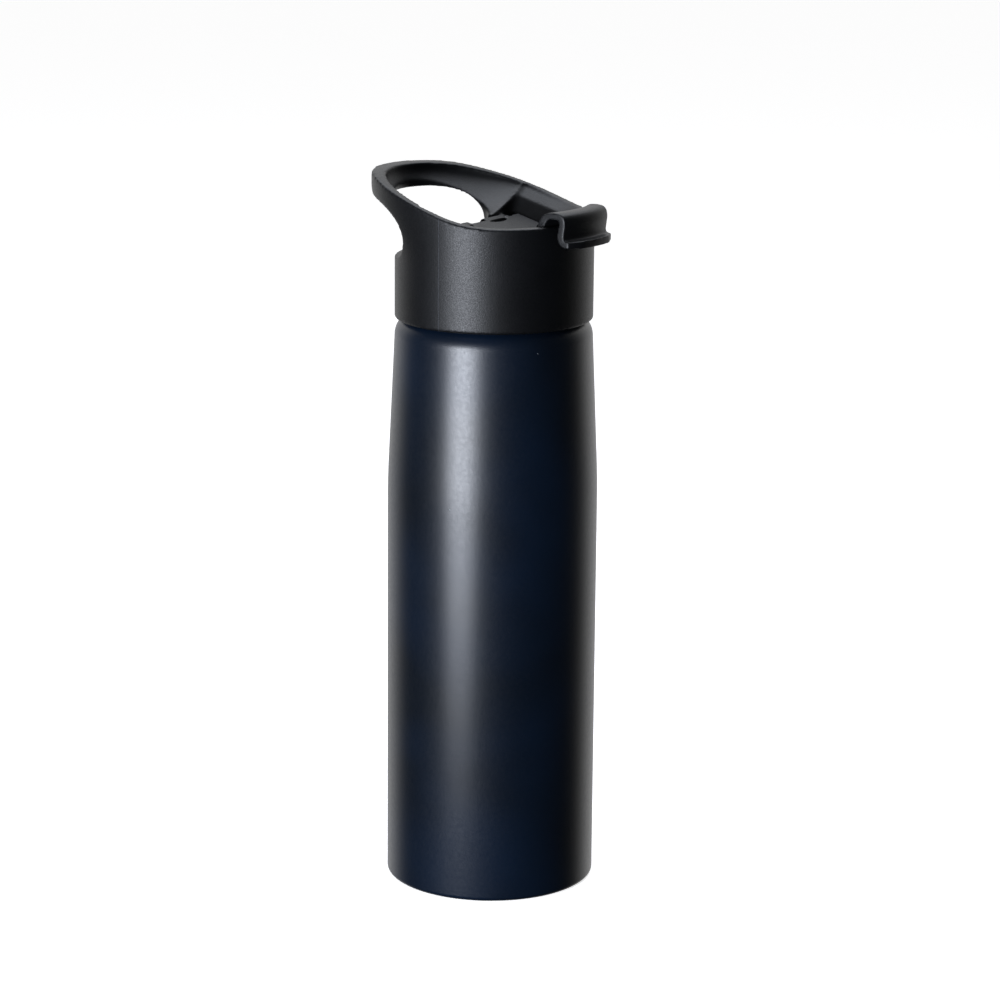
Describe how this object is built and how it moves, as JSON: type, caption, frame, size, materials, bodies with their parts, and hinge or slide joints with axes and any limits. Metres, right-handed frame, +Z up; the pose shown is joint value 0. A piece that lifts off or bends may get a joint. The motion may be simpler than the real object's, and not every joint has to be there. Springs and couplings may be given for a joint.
{
  "type": "vacuum flask",
  "caption": "Tall double-walled steel flask with a tapered upper body, a screw lid with an integral carry loop and a hinged flip cap with a thumb hook.",
  "frame": {"origin": "centre of the foot ring, on the surface the flask stands on", "axes": "+Z up along the body's axis, +X towards the thumb hook, carry loop towards -X, XZ is the plane of symmetry"},
  "size_m": [0.0893, 0.0732, 0.249],
  "materials": {
    "coated_steel": "satin black powder coat with a faint blue cast",
    "bare_steel": "electropolished stainless steel",
    "copper_foil": "bright copper foil",
    "seal_glass": "fused sealing glass",
    "getter_metal": "pressed grey getter powder",
    "lid_plastic": "fine-grained moulded black polypropylene",
    "silicone": "smooth matt silicone"
  },
  "bodies": {
    "bottle": {"outer_shell": "coated_steel", "inner_flask": "bare_steel", "foil_shield": "copper_foil", "base_plate": "bare_steel", "base_cover": "coated_steel", "seal_bead": "seal_glass", "getter_holder": "bare_steel", "getter_pellet": "getter_metal"},
    "gasket": {"lid_gasket": "silicone"},
    "lid": {"lid_shell": "lid_plastic", "lid_core": "lid_plastic", "hinge_pin_left": "bare_steel", "hinge_pin_right": "bare_steel"},
    "cap": {"flip_cap": "lid_plastic", "spout_plug": "silicone", "vent_pad": "silicone"}
  },
  "joints": [
    {"name": "lid_lift", "type": "slide", "parent": "bottle", "child": "gasket", "axis": [0, 0, 1], "range_m": [0, 0.008]},
    {"name": "lid_turn", "type": "hinge", "parent": "gasket", "child": "lid", "pos_m": [0, 0, 0.21], "axis": [0, 0, 1], "range_deg": [0, 240]},
    {"name": "cap_hinge", "type": "hinge", "parent": "lid", "child": "cap", "pos_m": [-0.008, 0, 0.23185], "axis": [0, -1, 0], "range_deg": [0, 100]}
  ],
  "couplings": [
    {"joint": "lid_lift", "follows": "lid_turn", "m_per_rad": 0.0019099}
  ]
}
